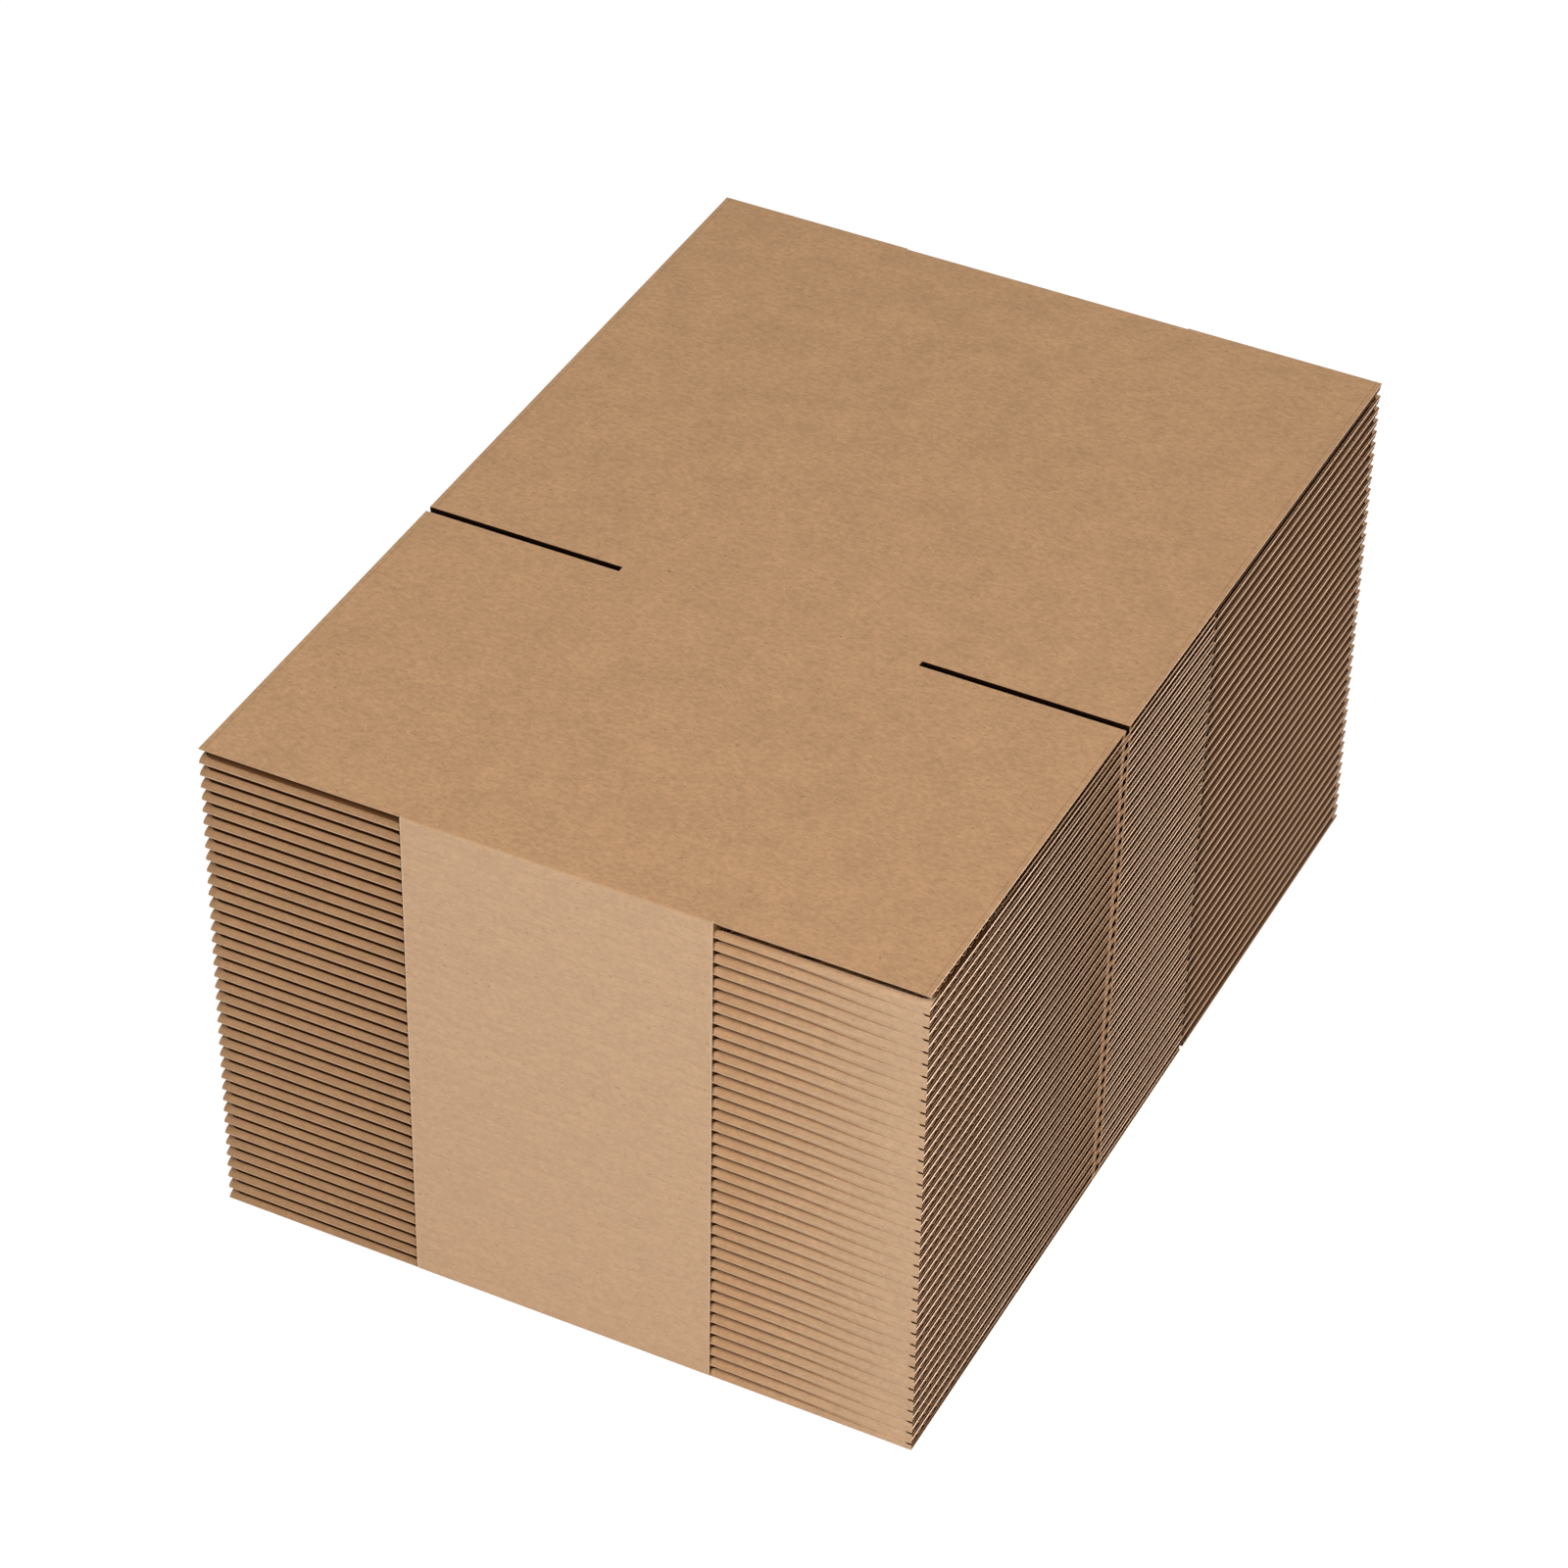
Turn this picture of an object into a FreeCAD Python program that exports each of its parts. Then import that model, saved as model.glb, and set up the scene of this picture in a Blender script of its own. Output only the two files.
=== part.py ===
"""Stack of knocked-down corrugated shipping boxes.

Every box is a glued tube of four panels, pressed flat so that it is two boards thick, with a row of
flaps at each end of the tube. The boxes lie straight on top of each other.

Frame: the origin is the middle of the footprint, on the floor. X runs along the flutes, from flaps to
flaps. Y runs across the panels, from fold to fold. Z is up. Lengths are in millimetres.
"""
import FreeCAD, Part
import math
import os
import Sketcher

SIZES = {
    "box_length": "304.8",     # long side of the set-up box
    "box_width": "203.2",      # short side of the set-up box
    "box_depth": "152.4",      # height of the set-up box, from flap score to flap score
    "board": "2.9",            # thickness of the corrugated board
    "panel_gap": "1.08",       # air between the two pressed layers
    "top_panel_gap": "2.1",    # the same in the top box, which nothing presses down
    "fold_radius": "0.3",      # outer rounding of the two folds
    "fold_setback": "0.5",     # distance of the outer flaps from the fold line
    "slot_width": "3.6",       # knife cut between neighbouring flaps
    "cut_edge": "0.5",         # board thickness left at a cut
    "crush_width": "3.0",      # strip beside a cut that the knife pressed down
    "box_count": "39",         # boxes in the stack
}

# Measures that follow from the driving sizes
HALF_SPAN = "(sizes.box_length + sizes.box_width) / 2"
SCORE = "sizes.box_depth / 2"
FLAP = "sizes.box_width / 2"
PITCH = "(2 * sizes.board + sizes.panel_gap)"
HALF_SLOT = "sizes.slot_width / 2"
# Places across the panels where the two slots of each layer are cut
UPPER_SLOT = "(sizes.box_width - sizes.box_length) / 2"
LOWER_SLOT = "(sizes.box_length - sizes.box_width) / 2"


def make_sheet(doc):
    """The driving sizes, one row each."""
    sheet = doc.addObject("Spreadsheet::Sheet", "sizes")
    for row, (alias, value) in enumerate(SIZES.items(), start=1):
        sheet.set(f"A{row}", alias)
        sheet.set(f"B{row}", value)
        sheet.setAlias(f"B{row}", alias)
    doc.recompute()
    return sheet


def new_sketch(body, name, plane_role):
    """A sketch on one of the body's own origin planes."""
    plane = next(item for item in body.Origin.OriginFeatures if item.Role == plane_role)
    sketch = body.newObject("Sketcher::SketchObject", name)
    sketch.AttachmentSupport = (plane, [""])
    sketch.MapMode = "FlatFace"
    return sketch


def bind(sketch, constraint, term):
    """Add a dimension whose value is an expression."""
    number = sketch.addConstraint(constraint)
    sketch.setExpression(f"Constraints[{number}]", term)


def add_outline(sketch, corners):
    """A closed outline of straight lines. Each corner is a pair of expressions."""
    first = sketch.GeometryCount
    values = [[float(sketch.evalExpression(term)) for term in corner] for corner in corners]
    points = [FreeCAD.Vector(across, up, 0) for across, up in values]
    for index, point in enumerate(points):
        sketch.addGeometry(Part.LineSegment(point, points[(index + 1) % len(points)]), False)
    for index, corner in enumerate(corners):
        line = first + index
        following = first + (index + 1) % len(corners)
        sketch.addConstraint(Sketcher.Constraint("Coincident", line, 2, following, 1))
        for kind, term, value in zip(("DistanceX", "DistanceY"), corner, values[index]):
            bind(sketch, Sketcher.Constraint(kind, -1, 1, line, 1, value), term)


def add_rounded_bar(sketch, width_term, height_term, radius_term):
    """An outline with four round corners that stands on the horizontal axis, centred."""
    half, height, radius = (
        float(sketch.evalExpression(term)) for term in (f"{width_term} / 2", height_term, radius_term)
    )
    inner = half - radius
    centres = [(inner, radius), (inner, height - radius), (-inner, height - radius), (-inner, radius)]
    sides = [
        ((-inner, 0), (inner, 0)),
        ((half, radius), (half, height - radius)),
        ((inner, height), (-inner, height)),
        ((-half, height - radius), (-half, radius)),
    ]
    first = sketch.GeometryCount
    for number, (side, centre) in enumerate(zip(sides, centres)):
        start, end = (FreeCAD.Vector(*point, 0) for point in side)
        sketch.addGeometry(Part.LineSegment(start, end), False)
        circle = Part.Circle(FreeCAD.Vector(*centre, 0), FreeCAD.Vector(0, 0, 1), radius)
        turn = number * math.pi / 2
        sketch.addGeometry(Part.ArcOfCircle(circle, turn - math.pi / 2, turn), False)
    bottom, right, top, left = (first + 2 * number for number in range(4))
    for index in range(8):
        following = first + (index + 1) % 8
        sketch.addConstraint(Sketcher.Constraint("Tangent", first + index, 2, following, 1))
    for arc in (right + 1, top + 1, left + 1):
        sketch.addConstraint(Sketcher.Constraint("Equal", bottom + 1, arc))
    sketch.addConstraint(Sketcher.Constraint("PointOnObject", bottom, 1, -1))
    sketch.addConstraint(Sketcher.Constraint("Symmetric", bottom, 1, bottom, 2, -2))
    sketch.addConstraint(Sketcher.Constraint("Vertical", right))
    sketch.addConstraint(Sketcher.Constraint("Horizontal", top))
    sketch.addConstraint(Sketcher.Constraint("Vertical", left))
    bind(sketch, Sketcher.Constraint("Radius", bottom + 1, radius), radius_term)
    bind(sketch, Sketcher.Constraint("DistanceX", left, 1, right, 1, 2 * half), width_term)
    bind(sketch, Sketcher.Constraint("DistanceY", bottom, 1, top, 1, height), height_term)


def add_pad(body, sketch, name, length_term):
    """Extrude a sketch to both sides of its plane."""
    pad = body.newObject("PartDesign::Pad", name)
    pad.Profile = sketch
    pad.Midplane = True
    pad.setExpression("Length", length_term)
    return pad


def add_tube(body, gap):
    """The four panels, pressed flat: two layers that are joined by a fold at each side."""
    sketch = new_sketch(body, body.Label + "_tube_profile", "YZ_Plane")
    add_rounded_bar(sketch, f"2 * {HALF_SPAN}", f"(2 * sizes.board + {gap})", "sizes.fold_radius")
    reach = f"({HALF_SPAN} - sizes.board)"
    floor = "sizes.board"
    ceiling = f"(sizes.board + {gap})"
    add_outline(sketch, [(f"-{reach}", floor), (reach, floor), (reach, ceiling), (f"-{reach}", ceiling)])
    add_pad(body, sketch, body.Label + "_tube", "sizes.box_depth")


def flap_spans(slot_place):
    """The two flaps of a layer, as the places across the panels where each begins and ends."""
    return [
        (f"(sizes.fold_setback - {HALF_SPAN})", f"({slot_place} - {HALF_SLOT})"),
        (f"({slot_place} + {HALF_SLOT})", f"({HALF_SPAN} - sizes.fold_setback)"),
    ]


def add_flap_section(sketch, span, outer_face, way):
    """A flap across its width. Its long edges are pressed towards the outer face of the box."""
    begin, end = span
    lip = f"{outer_face} {way} sizes.cut_edge"
    inner_face = f"{outer_face} {way} sizes.board"
    add_outline(sketch, [
        (begin, outer_face),
        (end, outer_face),
        (end, lip),
        (f"{end} - sizes.crush_width", inner_face),
        (f"{begin} + sizes.crush_width", inner_face),
        (begin, lip),
    ])


def add_flaps(body, gap):
    """The flaps at both ends of the tube, which lie flat in the plane of their panels."""
    sketch = new_sketch(body, body.Label + "_flap_profile", "YZ_Plane")
    for span in flap_spans(LOWER_SLOT):
        add_flap_section(sketch, span, "0", "+")
    for span in flap_spans(UPPER_SLOT):
        add_flap_section(sketch, span, f"(2 * sizes.board + {gap})", "-")
    add_pad(body, sketch, body.Label + "_flaps", f"2 * ({SCORE} + {FLAP})")


def make_box(doc, label, gap):
    """One flat box, with that much air between its two layers."""
    body = doc.addObject("PartDesign::Body", label)
    add_tube(body, gap)
    add_flaps(body, gap)
    return body


def copy_box(doc, label, source):
    """One more box with the same features."""
    body = doc.addObject("PartDesign::Body", label)
    copy = body.newObject("PartDesign::FeatureBase", label + "_copy")
    copy.BaseFeature = source
    body.Tip = copy
    return body


def make_stack(doc, count):
    """All boxes, from the floor up. Each one rests on the box below it."""
    labels = [f"flat_box_{number:02d}" for number in range(1, count + 1)]
    lowest = make_box(doc, labels[0], "sizes.panel_gap")
    boxes = [lowest]
    for label in labels[1:-1]:
        boxes.append(copy_box(doc, label, lowest))
    boxes.append(make_box(doc, labels[-1], "sizes.top_panel_gap"))
    for level, box in enumerate(boxes):
        box.setExpression("Placement.Base.z", f"{PITCH} * {level}")
    return boxes


def check(doc, boxes):
    """Stop when a feature failed or a box is not one closed solid."""
    for item in doc.Objects:
        if "Invalid" in item.State or "Error" in item.State:
            raise RuntimeError(f"{item.Label} failed: {item.State}")
        if item.TypeId == "Sketcher::SketchObject" and not item.FullyConstrained:
            raise RuntimeError(f"{item.Label} is not fully constrained")
    for box in boxes:
        shape = box.Shape
        if shape.isNull() or not shape.isValid() or len(shape.Solids) != 1:
            raise RuntimeError(f"{box.Label} is not one valid solid")


def main():
    doc = FreeCAD.newDocument("box_stack")
    sheet = make_sheet(doc)
    boxes = make_stack(doc, int(sheet.box_count))
    doc.recompute()
    check(doc, boxes)
    os.makedirs("parts", exist_ok=True)
    for box in boxes:
        box.Shape.exportStep(f"parts/{box.Label}.step")
        extent = box.Shape.BoundBox
        print(f"{box.Label}: z {extent.ZMin:.2f} to {extent.ZMax:.2f}, volume {box.Shape.Volume:.0f} mm3")


main()
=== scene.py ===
"""The looks of a stack of flattened corrugated boxes.

Mesh work is in millimetres, in the row's frame: X along the flutes, Y from fold to fold, Z up.
"""
import math

import bpy
from mathutils import Matrix, Vector


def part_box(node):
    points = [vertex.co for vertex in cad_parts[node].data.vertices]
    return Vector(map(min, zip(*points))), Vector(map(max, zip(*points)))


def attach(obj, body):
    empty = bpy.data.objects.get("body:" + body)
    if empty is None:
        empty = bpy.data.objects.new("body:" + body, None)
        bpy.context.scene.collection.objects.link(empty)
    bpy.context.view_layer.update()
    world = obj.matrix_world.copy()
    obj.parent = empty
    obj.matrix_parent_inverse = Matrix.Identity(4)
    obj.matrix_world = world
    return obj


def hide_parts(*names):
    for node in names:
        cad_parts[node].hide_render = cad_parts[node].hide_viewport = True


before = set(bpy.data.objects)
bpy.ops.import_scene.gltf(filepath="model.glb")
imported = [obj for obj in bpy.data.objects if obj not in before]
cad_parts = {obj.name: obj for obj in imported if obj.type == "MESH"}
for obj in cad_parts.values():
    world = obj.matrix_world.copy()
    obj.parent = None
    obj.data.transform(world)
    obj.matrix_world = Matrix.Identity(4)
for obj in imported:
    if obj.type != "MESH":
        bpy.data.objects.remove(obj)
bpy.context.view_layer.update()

MM = 0.001

# The carton
BOX_LENGTH = 304.8
BOX_WIDTH = 203.2
BOX_DEPTH = 152.4
BOARD = 2.9
PANEL_GAP = 1.08
TOP_PANEL_GAP = 2.1
SLOT_WIDTH = 3.6
FOLD_SETBACK = 0.15
HALF_SPAN = (BOX_LENGTH + BOX_WIDTH) / 2
SCORE = BOX_DEPTH / 2
FLAP = BOX_WIDTH / 2
UPPER_SLOT = BOX_WIDTH - HALF_SPAN
LOWER_SLOT = HALF_SPAN - BOX_WIDTH

# The board's layers and flutes
LINER = 0.5
MEDIUM = 0.45
FLUTE_PITCH = 6.35
FLUTE_STEPS = 8
CELL_DEPTH = 9.0

# Cut edges: the knife presses the inner liner towards the outer one
LIP = 0.3
ROLL = 3.0
LEFT_ROLL = 2.0
SLOT_ROLL = 0.9
UNDERCUT_ROLL = 1.2
CRUSH_STEPS = 5
LEFT_UNDERCUT = 2.4
RIGHT_UNDERCUT = 1.3
CORNER_ROLL = 6.0
CORNER_REACH = 5.0
ROOT_REACH = 3.5
LEFT_ROOT_REACH = 6.0
ROOT_SHARE = 0.3
ROOT_STEPS = 5
FOLD_MARGIN = 1.0

# The top box, which nothing presses down, opens wider on the left and is thinner inside near its folds
TOP_UNDERCUT = 1.5
TOP_PRESS = 0.6
TOP_PRESS_REACH = 14.0

# On the right the front edges close up towards the free corner, over this stretch of each flap
CLOSING = (6.0, 94.0)
CLOSED_STRIP = ((0.0, 0.35), (0.02, 0.8), (0.05, 1.0), (0.5, 1.0), (1.2, 1.0), (2.0, 1.0), (3.0, 1.0))
OPEN_CORNER = 2.6
TIP_STEPS = 3
TOUCH = 0.02
CREVICE = 0.08

# Free edges: the layers swell until they meet, and they are pressed thinner past the lower slots
SWELLING = (-205.0, -165.0)
PRESSING = (LOWER_SLOT - 4.0, LOWER_SLOT + 4.0)
RAMP_STEPS = 4
UPPER_PRESS = 1.0
LOWER_PRESS = 0.35
PRESS_REACH = 12.0
FOLLOW_MARGIN = 1.0

# Flutes: the cut of the upper slots closes the cells beside it
CLOSED_ENDS = (UPPER_SLOT - 5.2, UPPER_SLOT + 4.2)

# Folds
FOLD_RADIUS = 0.08
TOP_FOLD_RADIUS = 1.2
FOLD_STEPS = 6
SEAM_WIDTH = 0.9
SEAM_DEPTH = 0.7

# Colours of the paper, with painted light and shade where noted
KRAFT = (0.480, 0.277, 0.140)
# PALE_KRAFT on the folds is painted light: their sideways faces are painted paler, standing in for the light
# on that side
PALE_KRAFT = (0.560, 0.360, 0.215)
DULL_KRAFT = (0.390, 0.220, 0.108)
# Painted highlight along the end of each fold, just before the score
FOLD_END_HIGHLIGHT = (0.680, 0.480, 0.320)
# Painted shadow of the crease, on the pressed strips just past the score
CREASE_SHADOW_KRAFT = (0.100, 0.045, 0.020)
CUT_SHADES = ((0.240, 0.140, 0.085), (0.780, 0.550, 0.405))
# The lining's pale colour is the liner's own; its dark colour is painted shade in the gaps between the layers
LINING_SHADES = ((0.050, 0.020, 0.006), (0.640, 0.415, 0.260))
# The medium's pale colour is its own; its dark colour is painted shade for the cells beside it
MEDIUM_SHADES = ((0.034, 0.012, 0.003), (0.340, 0.180, 0.085))
# Painted shade: near-black paper put where cells, slots and gaps between layers lie in shade
CAVITY_PAINTED_SHADES = ((0.012, 0.004, 0.001), (0.085, 0.033, 0.009))
# Painted shade in the top box's gap under its upper flaps
TOP_CAVITY_PAINTED_SHADES = ((0.012, 0.004, 0.001), (0.190, 0.085, 0.034))

# How pale the free edges are, from place to place across the panels
CUT_PALENESS = (
    (-254, 0.93), (-160, 0.83), (-100, 0.42), (-75, 0.10), (-57, 0.10), (-56, 0.30), (-47, 0.30), (-46, 0.70),
    (48, 0.65), (56, 0.48), (254, 0.52),
)
# In the lining tables, low values are painted shade in the gaps between the layers
LOWER_LINING = ((-254, 0.36), (-160, 0.46), (-110, 0.46), (-75, 0.62), (48, 0.64), (52, 0.25), (254, 0.25))
UPPER_LINING = (
    (-254, 0.00), (-200, 0.00), (-160, 0.40), (-110, 0.46), (-75, 0.58), (48, 0.62), (52, 0.10), (254, 0.10),
)
# Low values give painted shade in the cells
LOWER_MEDIUM = (
    (-254, 0.14), (-200, 0.00), (-100, 0.00), (-75, 0.25), (-57, 0.25), (-56, 0.35), (-47, 0.35), (-46, 0.00),
    (54, 0.00), (58, 0.30), (254, 0.30),
)
UPPER_MEDIUM = (
    (-254, 1.00), (-205, 0.60), (-170, 0.00), (-57, 0.00), (-56, 0.35), (-47, 0.35), (-46, 0.00), (254, 0.10),
)
# Where the cavity's painted shade turns a little browner
CAVITY_PALENESS = (
    (-254, 0.60), (-248, 0.55), (-244, 0.35), (-170, 0.10), (-54, 0.00), (57, 0.00), (60, 0.90), (254, 0.90),
)
# Where the top box's painted shade turns browner, near its folds
TOP_CAVITY_PALENESS = ((-254, 1.00), (-242, 0.80), (-236, 0.00), (236, 0.00), (242, 0.80), (254, 1.00))

# Grain of the paper, in features per metre
BLOTCHES = 55
CLOUDS = 420
FIBRES = 1500
DARK_SPECKS = 900
PALE_SPECKS = 760
SPECK_RANGE = (0.70, 0.78)
GRAIN_RELIEF = 0.0002

# Camera, from the corners of the stack in the photograph
CAMERA_PLACE = (839.4, -1753.1, 1696.0)
CAMERA_YAW = -26.00
CAMERA_PITCH = -38.77
CAMERA_ROLL = 1.08
CAMERA_LENS = 120.06
CAMERA_SENSOR = 36

# Studio: each lamp's name, place, size and power
LAMPS = (
    ("key", (0.45, -1.7, 2.4), 1.2, 42),
    ("fill", (3.2, -0.4, 0.68), 1.4, 100),
    ("back", (-2.5, 2.1, 0.58), 1.1, 24),
)
LAMP_AIM = (0, 0, 0.13)
WORLD_LIGHT = 0.38
FLOOR_REACH = 12.0
FLOOR_PAPER = 0.85
FLOOR_GLOW = 1.06
FLOOR_GLOW_SHARE = 0.9

# Material slots of a box; CAVITY is painted shade, near-black paper in cells, slots, gaps and tube ends
FACE, FOLD, STRIP, CUT, LINING, FLUTE, CAVITY = range(7)


class Shell:
    """Points and faces of a mesh in the making."""

    def __init__(self):
        self.points = []
        self.faces = []
        self.slots = []
        self.place = lambda point: point
        self.mirrored = False

    def put(self, points):
        first = len(self.points)
        self.points.extend(self.place(point) for point in points)
        return first

    def face(self, corners, slot, flip=False):
        turned = flip != self.mirrored
        self.faces.append(tuple(reversed(corners)) if turned else tuple(corners))
        self.slots.append(slot)

    def sheet(self, rows, slot, flip=False, closed=False):
        """A sheet of four-sided faces through rows of points of equal length."""
        width = len(rows[0])
        first = self.put(point for row in rows for point in row)
        columns = width if closed else width - 1
        for row in range(len(rows) - 1):
            for column in range(columns):
                here = first + row * width + column
                beside = first + row * width + (column + 1) % width
                self.face((here, beside, beside + width, here + width), slot, flip)

    def mesh(self, name, materials):
        mesh = bpy.data.meshes.new(name)
        mesh.from_pydata([Vector(point) * MM for point in self.points], [], self.faces)
        for material in materials:
            mesh.materials.append(material)
        mesh.polygons.foreach_set("material_index", self.slots)
        mesh.polygons.foreach_set("use_smooth", [True] * len(self.faces))
        mesh.set_sharp_from_angle(angle=math.radians(35))
        return mesh


class Flap:
    """One flap: x runs from its score to its free edge, z from its outer liner inwards."""

    def __init__(self, shell, begin, end, side, upper, gap, pressed):
        self.shell = shell
        self.begin = begin
        self.end = end
        self.side = side
        self.upper = upper
        self.gap = gap
        self.pressed = pressed

    def closing(self, x, y):
        """0 where an edge is crushed by the knife, 1 where it has closed up with its neighbour."""
        if self.side < 0 or y > FOLD_MARGIN - HALF_SPAN or not self.pressed:
            return 0.0
        share = ramp_share(x, *CLOSING)
        return share * share * (3 - 2 * share)

    def board(self, x, y):
        """Full thickness of the board, which swells or is pressed near its free edge."""
        along = ramp_share(x, FLAP - PRESS_REACH, FLAP) ** 2
        beyond = ramp_share(y, *PRESSING)
        spare = (self.gap - PANEL_GAP) / 2
        swollen = spare + (PANEL_GAP / 2 - TOUCH) * ramp_share(y, *SWELLING) * (1 - beyond)
        full = BOARD
        if self.pressed:
            swollen *= 2 if self.upper else 0
        elif not self.upper:
            full -= TOP_PRESS * ramp_share(abs(y), HALF_SPAN - TOP_PRESS_REACH, HALF_SPAN)
        press = UPPER_PRESS if self.upper else LOWER_PRESS
        return full + (swollen - press * beyond) * along

    def widths(self, x, y):
        """The flat part of the pressed strip and its rounded part."""
        if beside_slot(y):
            return TOUCH, SLOT_ROLL
        reach = LEFT_ROOT_REACH if self.side < 0 else ROOT_REACH
        root = round_share(x / reach)
        if self.upper:
            flat = LEFT_UNDERCUT if self.side < 0 else RIGHT_UNDERCUT
            if self.side < 0 and not self.pressed:
                flat += TOP_UNDERCUT
            return flat + (1 - root) * reach / 3, UNDERCUT_ROLL
        roll = LEFT_ROLL if self.side < 0 else ROLL
        corner = max(0.0, 1 - (FLAP - x) / CORNER_REACH) ** 2
        roll += (CORNER_ROLL - roll) * corner
        return TOUCH, roll * (ROOT_SHARE + (1 - ROOT_SHARE) * root)

    def strip(self, x, y):
        """Distances from a cut edge and the heights of the inner liner there."""
        flat, roll = self.widths(x, y)
        closing = self.closing(x, y)
        full = self.board(x, y)
        shut = full if x > FLAP - OPEN_CORNER else BOARD + self.gap / 2 - CREVICE
        turns = [step / CRUSH_STEPS * math.pi / 2 for step in range(CRUSH_STEPS + 1)]
        crushed = [(flat + roll * (1 - math.cos(t)), LIP + (full - LIP) * math.sin(t)) for t in turns]
        points = []
        for (across, up), (shut_across, share) in zip([(0.0, LIP)] + crushed, CLOSED_STRIP):
            points.append((
                across + (shut_across - across) * closing,
                up + (shut * share - up) * closing,
            ))
        return points[:-1] + [(points[-1][0], full)]

    def near(self, x):
        """Points of the pressed strip on the side of low y."""
        return [(x, self.begin + across, up) for across, up in self.strip(x, self.begin)]

    def far(self, x):
        """Points of the pressed strip on the side of high y, from the flap's middle outwards."""
        return [(x, self.end - across, up) for across, up in reversed(self.strip(x, self.end))]

    def middle(self, x):
        """Points between the two pressed strips."""
        shares = [step / RAMP_STEPS for step in range(RAMP_STEPS + 1)]
        near_fold = (-HALF_SPAN, TOP_PRESS_REACH - HALF_SPAN)
        far_fold = (HALF_SPAN - TOP_PRESS_REACH, HALF_SPAN)
        ramps = (near_fold, SWELLING, PRESSING, far_fold)
        places = [low + (high - low) * share for low, high in ramps for share in shares]
        first, last = self.near(x)[-1], self.far(x)[0]
        inside = [y for y in places if first[1] + FOLLOW_MARGIN < y < last[1] - FOLLOW_MARGIN]
        return [first] + [(x, y, self.board(x, y)) for y in inside] + [last]

    def rim(self):
        """The inner liner's line along the free edge."""
        return [point[1:] for point in self.near(FLAP) + self.middle(FLAP)[1:-1] + self.far(FLAP)]

    def height(self, y):
        """Height of the inner liner at any place of the free edge."""
        rim = self.rim()
        for (y0, z0), (y1, z1) in zip(rim, rim[1:]):
            if y0 <= y <= y1:
                return z0 + (z1 - z0) * (y - y0) / max(y1 - y0, 1e-9)
        return LIP

    def add_faces(self):
        """Both liners and the two long cut edges."""
        sheet = self.shell.sheet
        stations = flap_stations()
        near = [self.near(x) for x in stations]
        far = [self.far(x) for x in stations]
        for rows, y in ((near, self.begin), (far, self.end)):
            if beside_slot(y):
                sheet(rows, self.inside(), flip=True)
            elif self.closing(FLAP, y) == 0:
                sheet(rows, STRIP, flip=True)
            else:
                sheet(rows[:-TIP_STEPS], STRIP, flip=True)
                tip = rows[-TIP_STEPS - 1:]
                sheet([row[:3] for row in tip], STRIP, flip=True)
                # Past the third point the closed tip is painted shade, with the cavity's dark paper
                sheet([row[2:] for row in tip], CAVITY, flip=True)
        # The inner faces between the strips are painted shade, with the cavity's dark paper
        sheet([self.middle(x) for x in stations], CAVITY, flip=True)
        edges = [(low[0], high[-1]) for low, high in zip(near, far)]
        sheet([[(x, y, 0.0) for x, y, _ in pair] for pair in edges], FACE)
        for side, y, flip in ((0, self.begin, True), (1, self.end, False)):
            slot = self.inside() if beside_slot(y) else FOLD
            sheet([[(*pair[side][:2], 0.0), pair[side]] for pair in edges], slot, flip)

    def inside(self):
        """What shows in the slots and cells of the layer: painted shade, dark paper where they lie in shade.
        """
        return CAVITY if self.upper else FLUTE

    def add_free_edge(self):
        """The cut ends of the liners, and the cells between them."""
        rim = self.rim()
        back = FLAP - CELL_DEPTH
        outer = [(y, min(LINER, up)) for y, up in rim]
        inner = [(y, max(min(LINER, up), up - LINER)) for y, up in rim]
        inside = self.inside()
        sheet = self.shell.sheet
        sheet([[(FLAP, y, 0.0) for y, _ in rim], [(FLAP, *point) for point in outer]], CUT)
        sheet([[(FLAP, *point) for point in row] for row in (inner, rim)], LINING)
        # Walls of the cells, in the painted shade of the layer's inside
        sheet([[(x, *point) for point in outer] for x in (back, FLAP)], inside, flip=True)
        sheet([[(x, *point) for point in inner] for x in (back, FLAP)], inside)
        sheet([[(back, *point) for point in row] for row in (outer, inner)], inside)

    def add_flutes(self):
        """The corrugated medium where the free edge shows it."""
        count = int((self.end - self.begin) / FLUTE_PITCH * FLUTE_STEPS)
        upper, lower = [], []
        for step in range(count + 1):
            y = self.begin + (self.end - self.begin) * step / count
            height = self.height(y)
            low = min(LINER, height)
            high = max(low, height - LINER)
            room = max(0.0, (high - low - MEDIUM) / 2)
            phase = 2 * math.pi * y / FLUTE_PITCH
            slope = room * 2 * math.pi / FLUTE_PITCH * math.cos(phase)
            half = MEDIUM / 2 * math.hypot(1, slope)
            if CLOSED_ENDS[0] < y < CLOSED_ENDS[1]:
                half = height
            centre = (high + low) / 2 + room * math.sin(phase)
            upper.append((y, min(high, centre + half)))
            lower.append((y, max(low, centre - half)))
        back = FLAP - CELL_DEPTH
        sheet = self.shell.sheet
        sheet([[(x, *point) for point in upper] for x in (back, FLAP)], self.inside(), flip=True)
        sheet([[(x, *point) for point in lower] for x in (back, FLAP)], self.inside())
        sheet([[(FLAP, *point) for point in row] for row in (lower, upper)], FLUTE)


def beside_slot(y):
    """Whether an edge lies at a slot, and not at a fold."""
    return abs(y) < HALF_SPAN - FOLD_MARGIN


def round_share(share):
    """0 to 1 along a quarter circle."""
    rest = 1 - min(1.0, max(0.0, share))
    return math.sqrt(1 - rest * rest)


def ramp_share(value, first, last):
    """0 up to the first place, 1 from the last one on."""
    return min(1.0, max(0.0, (value - first) / (last - first)))


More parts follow.
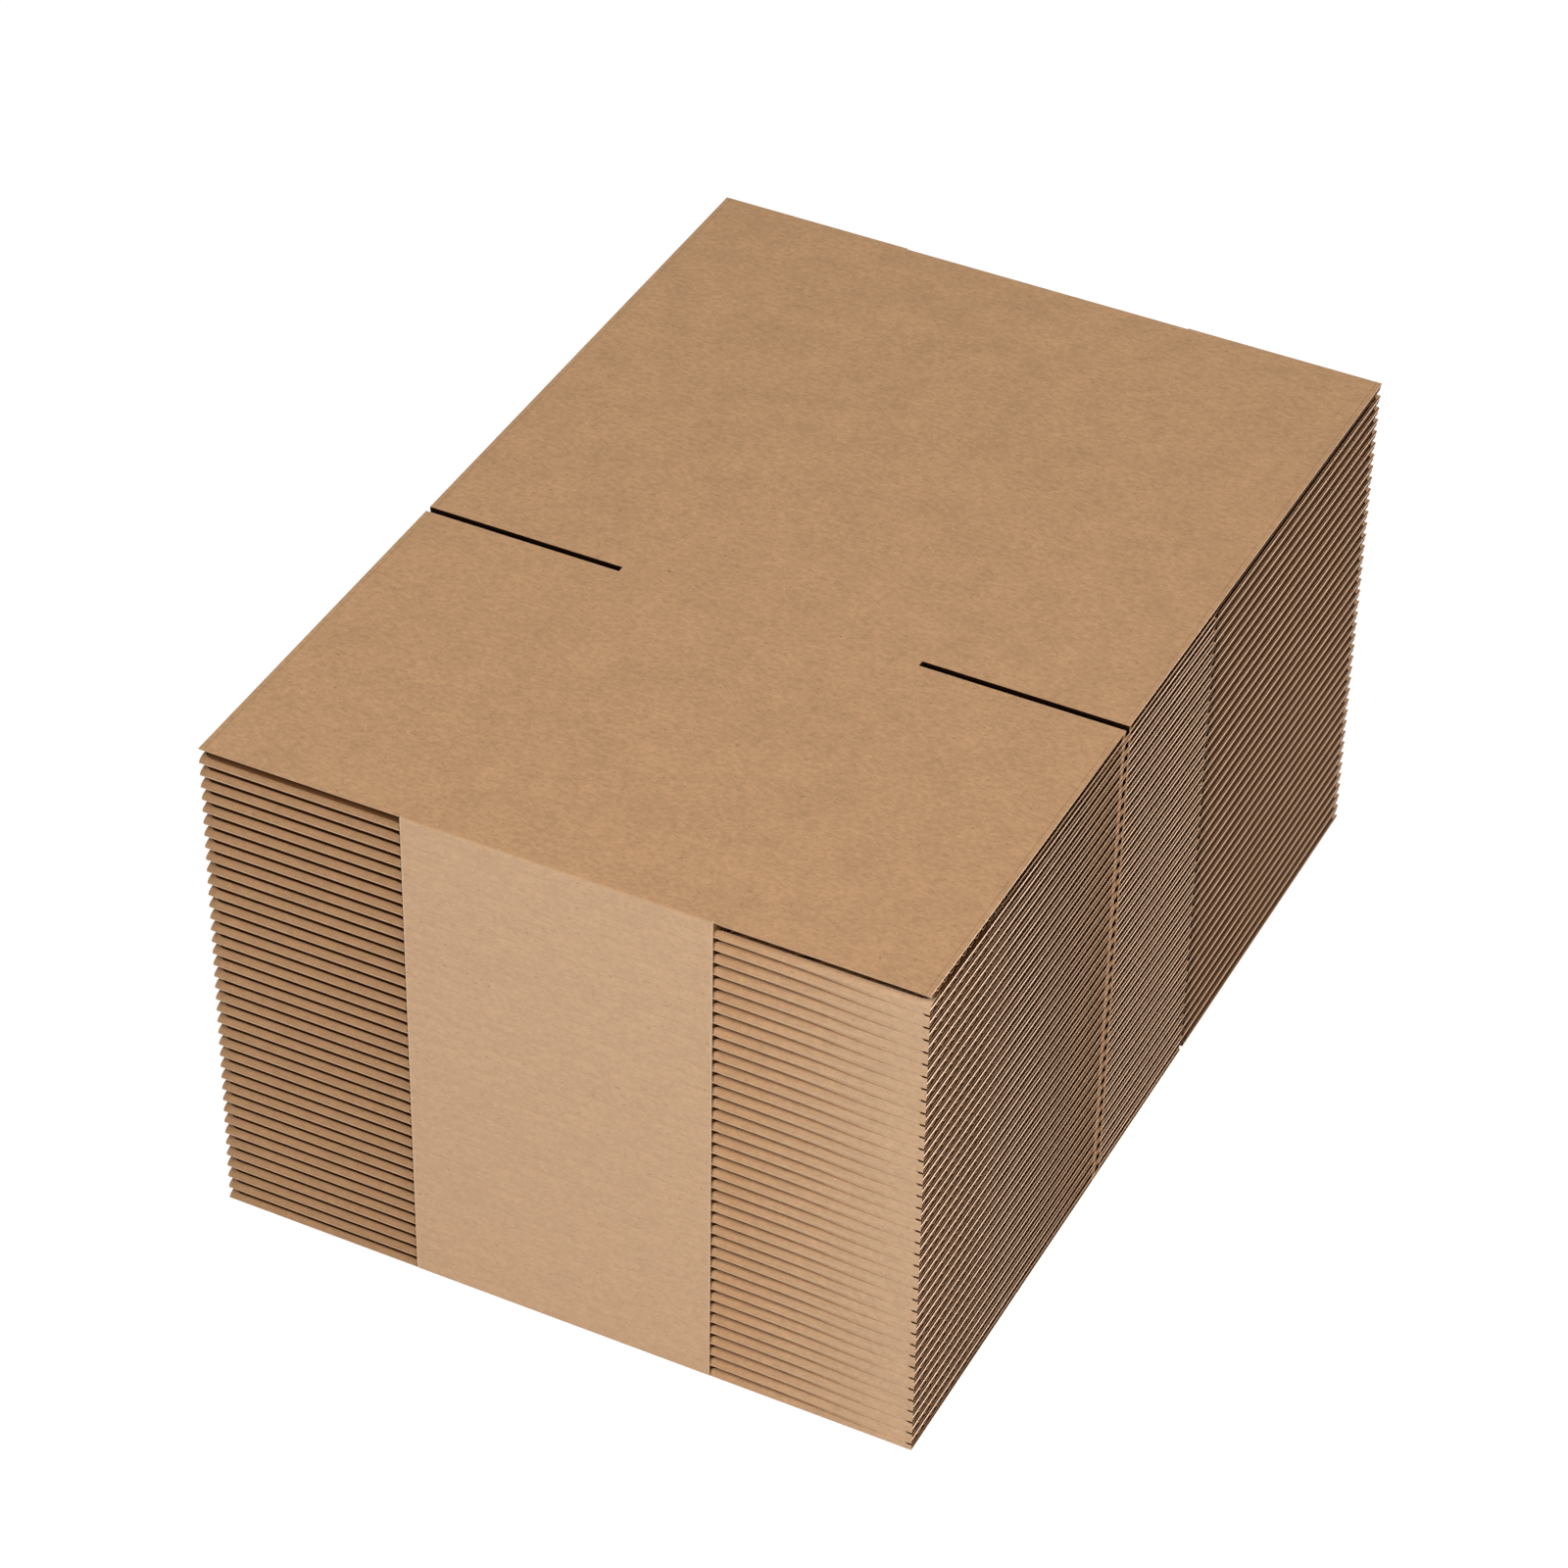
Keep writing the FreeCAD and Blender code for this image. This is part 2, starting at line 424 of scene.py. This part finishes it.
def flap_stations():
    """Places along the flap, from its score to its free edge."""
    turns = [step / ROOT_STEPS * math.pi / 2 for step in range(ROOT_STEPS + 1)]
    root = [LEFT_ROOT_REACH * (1 - math.cos(turn)) for turn in turns]
    middle = [FLAP * share for share in (0.12, 0.24, 0.36, 0.48, 0.6, 0.72, 0.84)]
    corner = [FLAP - CORNER_REACH * share for share in (1.8, 1, 0.75, 0.5)]
    tip = [FLAP - OPEN_CORNER, FLAP - OPEN_CORNER * 0.95, FLAP - OPEN_CORNER * 0.5, FLAP]
    return root + middle + corner + tip


def add_flaps(shell, thickness, pressed):
    """The eight flaps of a flat box."""
    for side in (1, -1):
        for slot, upper in ((LOWER_SLOT, False), (UPPER_SLOT, True)):
            outer_face = thickness if upper else 0.0
            way = -1 if upper else 1
            shell.place = lambda p, side=side, z=outer_face, way=way: (
                side * (SCORE + p[0]), p[1], z + way * p[2]
            )
            shell.mirrored = side * way < 0
            spans = (
                (FOLD_SETBACK - HALF_SPAN, slot - SLOT_WIDTH / 2),
                (slot + SLOT_WIDTH / 2, HALF_SPAN - FOLD_SETBACK),
            )
            for begin, end in spans:
                flap = Flap(shell, begin, end, side, upper, thickness - 2 * BOARD, pressed)
                flap.add_faces()
                flap.add_free_edge()
                flap.add_flutes()
    shell.place = lambda point: point
    shell.mirrored = False


def rounded(centre_y, centre_z, radius, start):
    """Points round a quarter turn that begins at the angle start."""
    turns = [start + step / FOLD_STEPS * math.pi / 2 for step in range(FOLD_STEPS + 1)]
    return [(centre_y + radius * math.cos(t), centre_z + radius * math.sin(t)) for t in turns]


def tube_profile(thickness, top_radius):
    """The outline of the pressed tube, with the open joint of the blank in its lower layer."""
    low = HALF_SPAN - FOLD_RADIUS
    high = HALF_SPAN - top_radius
    seam = [
        (LOWER_SLOT - SEAM_WIDTH / 2, 0.0),
        (LOWER_SLOT - SEAM_WIDTH / 2, SEAM_DEPTH),
        (LOWER_SLOT + SEAM_WIDTH / 2, SEAM_DEPTH),
        (LOWER_SLOT + SEAM_WIDTH / 2, 0.0),
    ]
    quarter = math.pi / 2
    return (
        seam
        + rounded(low, FOLD_RADIUS, FOLD_RADIUS, -quarter)
        + rounded(high, thickness - top_radius, top_radius, 0)
        + rounded(-high, thickness - top_radius, top_radius, quarter)
        + rounded(-low, FOLD_RADIUS, FOLD_RADIUS, 2 * quarter)
    )


def add_tube(shell, thickness, top_radius):
    """The four panels between the flap scores."""
    profile = tube_profile(thickness, top_radius)
    for begin, end, slot in tube_stretches(profile):
        stretch = profile[begin:end + 1] if end < len(profile) else profile[begin:] + profile[:1]
        shell.sheet([[(x, *point) for point in stretch] for x in (-SCORE, SCORE)], slot)
    # The tube's end walls are painted shade, with the cavity's dark paper
    for side, flip in ((SCORE, False), (-SCORE, True)):
        first = shell.put((side, *point) for point in profile)
        shell.face(range(first, first + len(profile)), CAVITY, flip)


def tube_stretches(profile):
    """Index ranges of the tube's outline: seam and underside, fold, top, fold."""
    seam_points = 4
    arc = FOLD_STEPS + 1
    return [
        (0, seam_points, FACE),
        (seam_points, seam_points + 2 * arc - 1, FOLD),
        (seam_points + 2 * arc - 1, seam_points + 2 * arc, FACE),
        (seam_points + 2 * arc, seam_points + 4 * arc - 1, FOLD),
        (seam_points + 4 * arc - 1, len(profile), FACE),
    ]


def box_mesh(name, gap, top_radius, pressed, materials):
    """One flat box, its underside at z = 0."""
    thickness = 2 * BOARD + gap
    shell = Shell()
    add_tube(shell, thickness, top_radius)
    add_flaps(shell, thickness, pressed)
    return shell.mesh(name, materials)


class Nodes:
    """A short way to write a material's node tree."""

    def __init__(self, material):
        material.use_nodes = True
        self.tree = material.node_tree
        self.tree.nodes.clear()

    def add(self, kind, inputs=None, **settings):
        node = self.tree.nodes.new(kind)
        for key, value in settings.items():
            setattr(node, key, value)
        for key, value in (inputs or {}).items():
            if isinstance(value, bpy.types.NodeSocket):
                self.tree.links.new(value, node.inputs[key])
            else:
                node.inputs[key].default_value = value
        return node


def board_coordinates(nodes):
    """Coordinates on a box, shifted from one box to the next."""
    place = nodes.add("ShaderNodeTexCoord").outputs["Object"]
    chance = nodes.add("ShaderNodeObjectInfo").outputs["Random"]
    shift = nodes.add("ShaderNodeVectorMath", {0: (3.1, 1.7, 2.3), "Scale": chance}, operation="SCALE")
    moved = nodes.add("ShaderNodeVectorMath", {0: place, 1: shift.outputs[0]}, operation="ADD")
    return moved.outputs[0]


def noise(nodes, place, scale, detail, stretch=(1, 1, 1)):
    """Noise in features per metre, stretched along the board's axes."""
    moved = nodes.add("ShaderNodeMapping", {"Vector": place, "Scale": stretch})
    texture = nodes.add(
        "ShaderNodeTexNoise", {"Vector": moved.outputs[0], "Scale": scale, "Detail": detail, "Roughness": 0.6}
    )
    return texture.outputs["Fac"]


def ranged(nodes, value, low, high, to_low, to_high):
    """A value mapped from one range to another and held inside it."""
    node = nodes.add(
        "ShaderNodeMapRange",
        {"Value": value, "From Min": low, "From Max": high, "To Min": to_low, "To Max": to_high},
    )
    return node.outputs["Result"]


def scaled_colour(nodes, colour, factor):
    """A colour times a brightness."""
    node = nodes.add("ShaderNodeVectorMath", {0: colour, "Scale": factor}, operation="SCALE")
    return node.outputs[0]


def mixed(nodes, factor, first, second):
    """Two colours mixed by a factor."""
    node = nodes.add("ShaderNodeMix", data_type="RGBA")
    for index, value in ((0, factor), (6, first), (7, second)):
        if isinstance(value, bpy.types.NodeSocket):
            nodes.tree.links.new(value, node.inputs[index])
        else:
            node.inputs[index].default_value = value
    return node.outputs[2]


def kraft(name, colour, mottle, speck, bump, tint=None, roughness=0.82, gloss=0.25):
    """Unbleached kraft paper: blotches, fibres and specks of darker and paler pulp."""
    material = bpy.data.materials.new(name)
    nodes = Nodes(material)
    place = board_coordinates(nodes)
    blotch = noise(nodes, place, BLOTCHES, 3)
    cloud = noise(nodes, place, CLOUDS, 3, (0.6, 1, 1))
    fibre = noise(nodes, place, FIBRES, 2, (0.35, 1, 1))
    shade = nodes.add("ShaderNodeMath", {0: cloud, 1: fibre}, operation="ADD").outputs[0]
    light = ranged(nodes, shade, 0.7, 1.3, 1 - mottle, 1 + mottle)
    wide = ranged(nodes, blotch, 0.3, 0.7, 1 - mottle * 0.35, 1 + mottle * 0.35)
    level = nodes.add("ShaderNodeMath", {0: light, 1: wide}, operation="MULTIPLY").outputs[0]
    base = scaled_colour(nodes, tint(nodes, colour) if tint else colour, level)
    dark_speck = ranged(nodes, noise(nodes, place, DARK_SPECKS, 1, (0.5, 1, 1)), *SPECK_RANGE, 0, speck)
    pale_speck = ranged(nodes, noise(nodes, place, PALE_SPECKS, 1, (1, 0.5, 1)), *SPECK_RANGE, 0, speck)
    dark = (colour[0] * 0.45, colour[1] * 0.40, colour[2] * 0.35, 1)
    pale = (colour[0] * 1.25, colour[1] * 1.35, colour[2] * 1.5, 1)
    base = mixed(nodes, dark_speck, base, dark)
    base = mixed(nodes, pale_speck, base, pale)
    relief = nodes.add("ShaderNodeBump", {"Strength": bump, "Distance": GRAIN_RELIEF, "Height": shade})
    shader = nodes.add(
        "ShaderNodeBsdfPrincipled",
        {
            "Base Color": base,
            "Roughness": roughness,
            "Specular IOR Level": gloss,
            "Normal": relief.outputs[0],
        },
    )
    nodes.add("ShaderNodeOutputMaterial", {"Surface": shader.outputs[0]})
    return material


def place_on_box(nodes, axis):
    """Distance from the middle of a box along one axis."""
    place = nodes.add("ShaderNodeTexCoord").outputs["Object"]
    return nodes.add("ShaderNodeSeparateXYZ", {0: place}).outputs[axis]


def fold_painted_light_tint(nodes, colour):
    """Painted light: faces of the fold that turn sideways are painted paler than the flat, as if lit from
    that side, and a painted highlight runs along the fold's end just before the score.
    """
    # Painted light: the colour follows the way the surface faces
    normal = nodes.add("ShaderNodeNewGeometry").outputs["Normal"]
    upwards = nodes.add("ShaderNodeSeparateXYZ", {0: normal}).outputs["Z"]
    flat = ranged(nodes, upwards, 0.15, 0.85, 0, 1)
    side_light_colour = mixed(nodes, flat, (*colour, 1), (*KRAFT, 1))
    along = nodes.add("ShaderNodeMath", {0: place_on_box(nodes, "X")}, operation="ABSOLUTE").outputs[0]
    # Painted highlight: a pale line along the fold's end before the score
    before = ranged(nodes, along, (SCORE - 1.0) * MM, (SCORE - 0.4) * MM, 0, 0.55)
    after = ranged(nodes, along, SCORE * MM, (SCORE + 0.1) * MM, 1, 0)
    end_highlight = nodes.add("ShaderNodeMath", {0: before, 1: after}, operation="MULTIPLY").outputs[0]
    return mixed(nodes, end_highlight, side_light_colour, (*FOLD_END_HIGHLIGHT, 1))


def strip_tint(nodes, colour):
    """The pressed strips: a painted shadow of the crease at the score, dull on the left, paler towards the
    closed corner.
    """
    along = place_on_box(nodes, "X")
    pale = ranged(nodes, along, (SCORE + CLOSING[0]) * MM, (SCORE + CLOSING[1]) * MM, 0, 1)
    dull = ranged(nodes, along, -0.01, 0.01, 1, 0)
    right = mixed(nodes, pale, (*colour, 1), (*PALE_KRAFT, 1))
    flat = mixed(nodes, dull, right, (*DULL_KRAFT, 1))
    outwards = nodes.add("ShaderNodeMath", {0: along}, operation="ABSOLUTE").outputs[0]
    # Painted shadow of the crease just past the score
    crease_shadow = ranged(nodes, outwards, (SCORE + 0.3) * MM, (SCORE + 1.0) * MM, 0.8, 0)
    return mixed(nodes, crease_shadow, flat, (*CREASE_SHADOW_KRAFT, 1))


def along_edge(nodes, stops):
    """A value that changes from place to place across the panels."""
    share = ranged(nodes, place_on_box(nodes, "Y"), -HALF_SPAN * MM, HALF_SPAN * MM, 0, 1)
    ramp = nodes.add("ShaderNodeValToRGB", {0: share})
    marks = ramp.color_ramp.elements
    for mark, (_, value) in zip(marks, (stops[0], stops[-1])):
        mark.color = (value, value, value, 1)
    for place, value in stops:
        mark = marks.new((place + HALF_SPAN) / (2 * HALF_SPAN))
        mark.color = (value, value, value, 1)
    return ramp.outputs["Color"]


def by_layer(nodes, lower, upper):
    """The first value in the lower layer of a box, the second one in the upper layer."""
    height = place_on_box(nodes, "Z")
    above = ranged(nodes, height, (BOARD + TOUCH / 2) * MM, (BOARD + 1.5 * TOUCH) * MM, 0, 1)
    return mixed(nodes, above, along_edge(nodes, lower), along_edge(nodes, upper))


def shaded(shades, lower, upper=None):
    """A tint between a dark and a pale colour, from place to place along the free edge; for the lining,
    medium and cavity the dark colour is painted shade.
    """
    dark, pale = ((*shade, 1) for shade in shades)

    def tint(nodes, colour):
        share = by_layer(nodes, lower, upper) if upper else along_edge(nodes, lower)
        return mixed(nodes, share, dark, pale)

    return tint


def raw_kraft(name, colour, mottle, speck, bump, tint):
    """Torn or cut board, which has no sheen."""
    return kraft(name, colour, mottle, speck, bump, tint, roughness=0.95, gloss=0.05)


def board_materials():
    """The materials of a box, in the order of its slots, and the cavity of the top box, which is painted
    shade.
    """
    cut = shaded(CUT_SHADES, CUT_PALENESS)
    lining = shaded(LINING_SHADES, LOWER_LINING, UPPER_LINING)
    medium = shaded(MEDIUM_SHADES, LOWER_MEDIUM, UPPER_MEDIUM)
    cavity = shaded(CAVITY_PAINTED_SHADES, CAVITY_PALENESS)
    top_cavity = shaded(TOP_CAVITY_PAINTED_SHADES, TOP_CAVITY_PALENESS)
    return [
        # Colour, mottle, specks, bump and tint of each
        kraft("kraft_face", KRAFT, 0.16, 0.70, 0.25),
        kraft("kraft_fold_painted_light", PALE_KRAFT, 0.09, 0.60, 0.15, fold_painted_light_tint),
        kraft("kraft_strip", KRAFT, 0.12, 0.45, 0.25, strip_tint),
        raw_kraft("kraft_cut", CUT_SHADES[1], 0.10, 0.20, 0.30, cut),
        raw_kraft("kraft_lining", LINING_SHADES[1], 0.15, 0.20, 0.30, lining),
        raw_kraft("kraft_medium", MEDIUM_SHADES[1], 0.15, 0.20, 0.30, medium),
        # The cavity materials are painted shade
        raw_kraft("kraft_cavity_painted_shade", CAVITY_PAINTED_SHADES[0], 0.08, 0.10, 0.20, cavity),
        raw_kraft("kraft_top_cavity_painted_shade", CAVITY_PAINTED_SHADES[0], 0.08, 0.10, 0.20, top_cavity),
    ]


def dress_stack():
    """One piece for every box of the frame."""
    *shared, cavity, top_cavity = board_materials()
    plain = box_mesh("flat_box", PANEL_GAP, FOLD_RADIUS, True, shared + [cavity])
    top = box_mesh("flat_box_top", TOP_PANEL_GAP, TOP_FOLD_RADIUS, False, shared + [top_cavity])
    names = sorted(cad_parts)
    for name in names:
        mesh = top if name == names[-1] else plain
        piece = bpy.data.objects.new("board_" + name, mesh)
        bpy.context.scene.collection.objects.link(piece)
        piece.location.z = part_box(name)[0][2]
        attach(piece, "root")
        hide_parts(name)


def make_camera():
    """The camera at the photograph's viewing angle."""
    yaw, pitch, roll = (math.radians(angle) for angle in (CAMERA_YAW, CAMERA_PITCH, CAMERA_ROLL))
    ahead = Vector((
        math.sin(yaw) * math.cos(pitch),
        math.cos(yaw) * math.cos(pitch),
        math.sin(pitch),
    ))
    level = Vector((math.cos(yaw), -math.sin(yaw), 0))
    upright = level.cross(ahead)
    right = level * math.cos(roll) + upright * math.sin(roll)
    up = upright * math.cos(roll) - level * math.sin(roll)
    data = bpy.data.cameras.new("camera")
    data.lens = CAMERA_LENS
    data.sensor_width = CAMERA_SENSOR
    data.clip_end = 50
    camera = bpy.data.objects.new("camera", data)
    bpy.context.scene.collection.objects.link(camera)
    turn = Matrix((right, up, -ahead)).transposed().to_4x4()
    camera.matrix_world = Matrix.Translation(Vector(CAMERA_PLACE) * MM) @ turn
    bpy.context.scene.camera = camera


def add_lamp(name, place, size, power):
    """A soft square lamp that faces the middle of the stack."""
    data = bpy.data.lights.new(name, "AREA")
    data.size = size
    data.energy = power
    lamp = bpy.data.objects.new(name, data)
    bpy.context.scene.collection.objects.link(lamp)
    lamp.location = place
    aim = Vector(LAMP_AIM) - lamp.location
    lamp.rotation_euler = aim.to_track_quat("-Z", "Y").to_euler()


def white_for_views(nodes, shown, hidden):
    """Mixes a shader for what is seen, mirrored or refracted with one for all other light."""
    path = nodes.add("ShaderNodeLightPath").outputs
    seen = path["Is Camera Ray"]
    for other in ("Is Glossy Ray", "Is Transmission Ray"):
        seen = nodes.add("ShaderNodeMath", {0: seen, 1: path[other]}, operation="MAXIMUM").outputs[0]
    return nodes.add("ShaderNodeMixShader", {0: seen, 1: hidden, 2: shown}).outputs[0]


def make_studio():
    """Pale floor, white surroundings and soft lamps."""
    scene = bpy.context.scene
    scene.view_settings.view_transform = "Standard"
    world = bpy.data.worlds.new("studio")
    scene.world = world
    nodes = Nodes(world)
    white = nodes.add("ShaderNodeBackground", {"Color": (1, 1, 1, 1), "Strength": 1.0}).outputs[0]
    soft = nodes.add("ShaderNodeBackground", {"Color": (1, 1, 1, 1), "Strength": WORLD_LIGHT}).outputs[0]
    nodes.add("ShaderNodeOutputWorld", {"Surface": white_for_views(nodes, white, soft)})

    mesh = bpy.data.meshes.new("floor")
    reach = FLOOR_REACH
    corners = [(-reach, -reach, 0), (reach, -reach, 0), (reach, reach, 0), (-reach, reach, 0)]
    mesh.from_pydata(corners, [], [(0, 1, 2, 3)])
    material = bpy.data.materials.new("floor")
    nodes = Nodes(material)
    grey = (FLOOR_PAPER, FLOOR_PAPER, FLOOR_PAPER, 1)
    paper = nodes.add("ShaderNodeBsdfDiffuse", {"Color": grey}).outputs[0]
    glow = nodes.add("ShaderNodeEmission", {"Color": (1, 1, 1, 1), "Strength": FLOOR_GLOW}).outputs[0]
    lit = nodes.add("ShaderNodeMixShader", {0: FLOOR_GLOW_SHARE, 1: paper, 2: glow}).outputs[0]
    nodes.add("ShaderNodeOutputMaterial", {"Surface": white_for_views(nodes, lit, paper)})
    mesh.materials.append(material)
    floor = bpy.data.objects.new("floor", mesh)
    scene.collection.objects.link(floor)

    for lamp in LAMPS:
        add_lamp(*lamp)


make_camera()
dress_stack()
make_studio()
